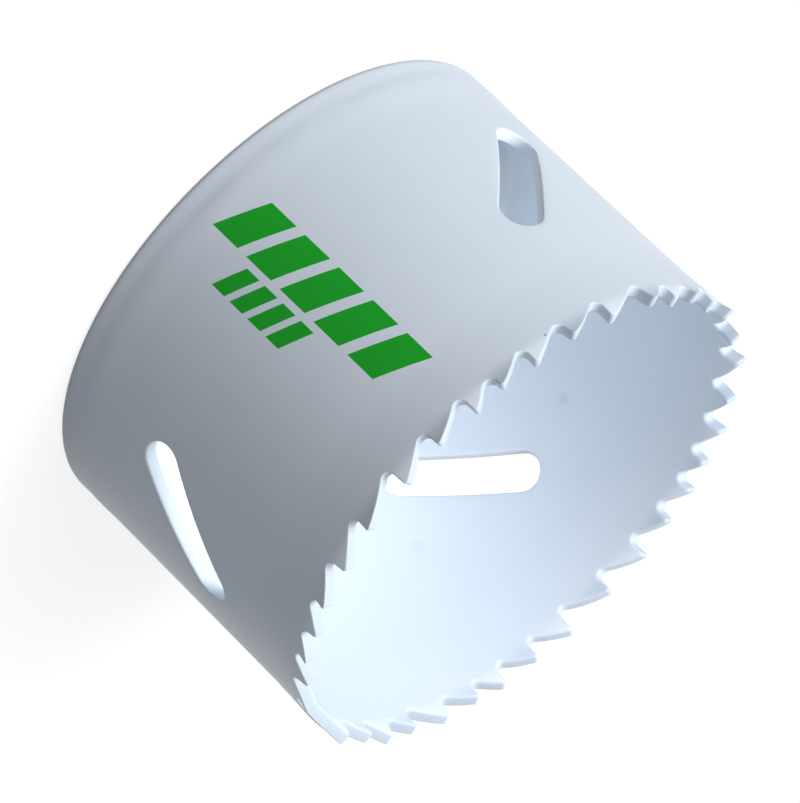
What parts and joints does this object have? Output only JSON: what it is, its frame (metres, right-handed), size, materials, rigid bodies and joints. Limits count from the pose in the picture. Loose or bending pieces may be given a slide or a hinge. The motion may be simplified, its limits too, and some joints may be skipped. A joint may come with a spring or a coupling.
{
  "type": "hole saw",
  "caption": "Cup-shaped hole saw with set teeth round its rim, slanted slug slots in its wall and a threaded arbor hole in its end plate.",
  "frame": {"origin": "centre of the closed end's outer face, which the saw stands on", "axes": "+Z along the saw's axis towards the teeth; +X points at the first tooth's tip, within about a degree"},
  "size_m": [0.065, 0.0649, 0.0427],
  "materials": {
    "shell_paint": "white enamel over steel, satin",
    "plate_paint": "white enamel over steel, satin"
  },
  "bodies": {
    "root": {"toothed_shell": "shell_paint", "end_plate": "plate_paint"}
  },
  "joints": []
}
